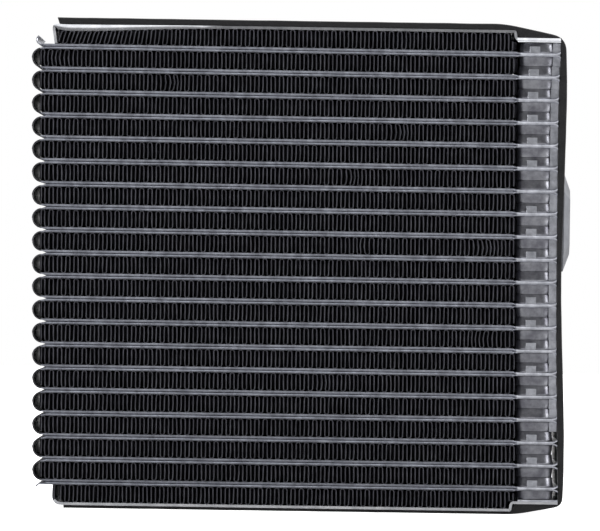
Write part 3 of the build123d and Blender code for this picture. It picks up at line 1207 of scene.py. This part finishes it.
def tape_mesh(side):
    """Front (-1) or rear (1) half of the tape, with eased edges."""
    path = tape_outline()
    points = []
    for index, outer in enumerate(path):
        inner = core_face(outer.x, outer.y)
        if index == 0:
            inner.x += TAPE_END_SLANT
        swell = SWELL * noise.noise(Vector((outer.x * SWELL_STEP, outer.y * SWELL_STEP, SWELL_START)))
        toward = (outer - inner).normalized()
        points += tape_section(inner, outer + toward * (swell - SWELL_SHY), toward, side)
    faces = grid_faces(len(path), SECTION_POINTS, wrap=True, flip=side < 0)
    which = []
    for index in range(len(faces)):
        which.append(FILM_FACE if index % SECTION_POINTS in FILM_COLUMNS else FOAM_FACE)
    first = tuple(range(SECTION_POINTS))
    last = tuple(range(len(points) - 1, len(points) - 1 - SECTION_POINTS, -1))
    ends = (first, last)
    faces += ends if side < 0 else [end[::-1] for end in ends]
    return points, faces, which + [FOAM_FACE] * len(ends)


def build_tape():
    points, faces, which = join([tape_mesh(-1), tape_mesh(1)])
    nodes = ["foam_top", "foam_side", "foam_base"]
    tape = make_piece("foam_tape", points, faces, TAPE_FINISHES, nodes, 50.0, which)
    print(len(faces), "faces in the tape")


build_tape()

# %% [markdown]
# The pad is a machined block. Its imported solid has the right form, with its
# ports and screw holes, so nothing has to stand in for it: the mesh stays, and
# only takes a finish.

# %% Finish of the valve pad


def finish(node, material):
    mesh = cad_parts[node].data
    mesh.materials.clear()
    mesh.materials.append(material)
    print(node, "takes", material.name)


finish("valve_pad", MACHINED)

# %% [markdown]
# The core stands on a pale floor. Brighter lamps would wash the floor out, but
# also the metal, so the floor's own material glows for the camera alone, which
# makes it white there, while it stays a plain pale floor to the core.

# %% Floor
WHITE = (1, 1, 1, 1)
FLOOR_HALF = 4.0


def white_floor():
    material, tree = new_material("studio_floor")
    matt = add(tree, "ShaderNodeBsdfDiffuse", {}, {"Color": linear("E4E4E4")})
    rays = add(tree, "ShaderNodeLightPath")
    glow = add(tree, "ShaderNodeEmission", {}, {"Color": WHITE, "Strength": rays.outputs["Is Camera Ray"]})
    both = add(tree, "ShaderNodeAddShader", {}, {0: matt.outputs["BSDF"], 1: glow.outputs["Emission"]})
    return finished(material, both.outputs["Shader"])


floor_corners = [(x * FLOOR_HALF, y * FLOOR_HALF, 0) for x, y in ((-1, -1), (1, -1), (1, 1), (-1, 1))]
floor_mesh = bpy.data.meshes.new("studio_floor")
floor_mesh.from_pydata(floor_corners, [], [(0, 1, 2, 3)])
floor_mesh.materials.append(white_floor())
floor = bpy.data.objects.new("studio_floor", floor_mesh)
bpy.context.scene.collection.objects.link(floor)

# %% [markdown]
# Metal looks like what stands round it. A real studio gives it a bright ceiling,
# a dark room between the lamps and the ceiling, and a white backdrop behind. An
# image of such a studio could light the scene, but a few brightness levels by
# height do it too, and the backdrop shows only in what the gloss mirrors. To
# the camera, and through anything clear, the background is plain white.

# %% Background
# Share of the way from straight down to straight up, and the brightness there.
SKY_LEVELS = ((0.0, 0.7), (0.505, 0.6), (0.56, 0.12), (0.78, 0.12), (0.86, 1.4), (1.0, 1.4))
BACKDROP_LEVEL = 1.0
BACKDROP_START, BACKDROP_FULL = 0.1, 0.4
# Places of a colour Mix node's sockets, whose names aren't unique.
MIX_FACTOR, MIX_A, MIX_B, MIX_RESULT = 0, 6, 7, 2


def grey(level):
    return (level, level, level, 1)


def sky_levels(tree, up):
    """Brightness of the room by height, from straight down to straight up."""
    height = add(tree, "ShaderNodeMapRange", {}, {"Value": up, "From Min": -1.0, "From Max": 1.0})
    levels = add(tree, "ShaderNodeValToRGB", {}, {"Fac": height.outputs["Result"]})
    stops = levels.color_ramp.elements
    while len(stops) < len(SKY_LEVELS):
        stops.new(0.5)
    for stop, (place, level) in zip(stops, SKY_LEVELS):
        stop.position = place
        stop.color = grey(level)
    return levels.outputs["Color"]


def studio_world():
    """White to the camera; a white backdrop behind for gloss; brightness by height for the rest."""
    world = bpy.data.worlds.new("studio")
    bpy.context.scene.world = world
    world.use_nodes = True
    tree = world.node_tree
    tree.nodes.clear()
    direction = add(tree, "ShaderNodeTexCoord").outputs["Generated"]
    split = add(tree, "ShaderNodeSeparateXYZ", {}, {"Vector": direction})
    behind = add(tree, "ShaderNodeMapRange", {}, {
        "Value": split.outputs["Y"], "From Min": BACKDROP_START, "From Max": BACKDROP_FULL,
    })
    rays = add(tree, "ShaderNodeLightPath")
    mirrored = add(tree, "ShaderNodeMath", {"operation": "MULTIPLY"}, {
        0: behind.outputs["Result"], 1: rays.outputs["Is Glossy Ray"],
    })
    room = add(tree, "ShaderNodeMix", {"data_type": "RGBA"}, {
        MIX_FACTOR: mirrored.outputs["Value"],
        MIX_A: sky_levels(tree, split.outputs["Z"]),
        MIX_B: grey(BACKDROP_LEVEL),
    })
    seen = add(tree, "ShaderNodeMath", {"operation": "ADD", "use_clamp": True}, {
        0: rays.outputs["Is Camera Ray"], 1: rays.outputs["Is Transmission Ray"],
    })
    shade = add(tree, "ShaderNodeMix", {"data_type": "RGBA"}, {
        MIX_FACTOR: seen.outputs["Value"], MIX_A: room.outputs[MIX_RESULT], MIX_B: WHITE,
    })
    glow = add(tree, "ShaderNodeBackground", {}, {"Color": shade.outputs[MIX_RESULT], "Strength": 1.0})
    add(tree, "ShaderNodeOutputWorld", {}, {"Surface": glow.outputs["Background"]})
    print("background of", len(SKY_LEVELS), "levels")


studio_world()

# %% [markdown]
# A softbox is a lamp behind a broad white cloth. One stands left of the core and
# a weaker one right of it, both low enough in power that the metal keeps its
# own colour. Spots would be simpler, but broad lamps give the sheet soft edges.

# %% Lamps
# Name, place and size in metres, and watts.
SOFTBOXES = (
    ("left_softbox", (-1.8, -0.25, 0.25), (0.8, 1.0), 25.0),
    ("right_softbox", (1.5, -0.9, 0.3), (0.6, 1.0), 13.0),
)


def soft_lamp(name, place, size, watts):
    """A rectangle of light that faces the middle of the core."""
    data = bpy.data.lights.new(name, "AREA")
    data.shape = "RECTANGLE"
    data.size, data.size_y = size
    data.energy = watts
    lamp = bpy.data.objects.new(name, data)
    lamp.location = place
    aim = Vector((0, 0, VIEW_TARGET.z * MM)) - Vector(place)
    lamp.rotation_euler = aim.to_track_quat("-Z", "Y").to_euler()
    bpy.context.scene.collection.objects.link(lamp)
    print(name, watts, "W")


for softbox in SOFTBOXES:
    soft_lamp(*softbox)
bpy.context.scene.view_settings.view_transform = "Standard"
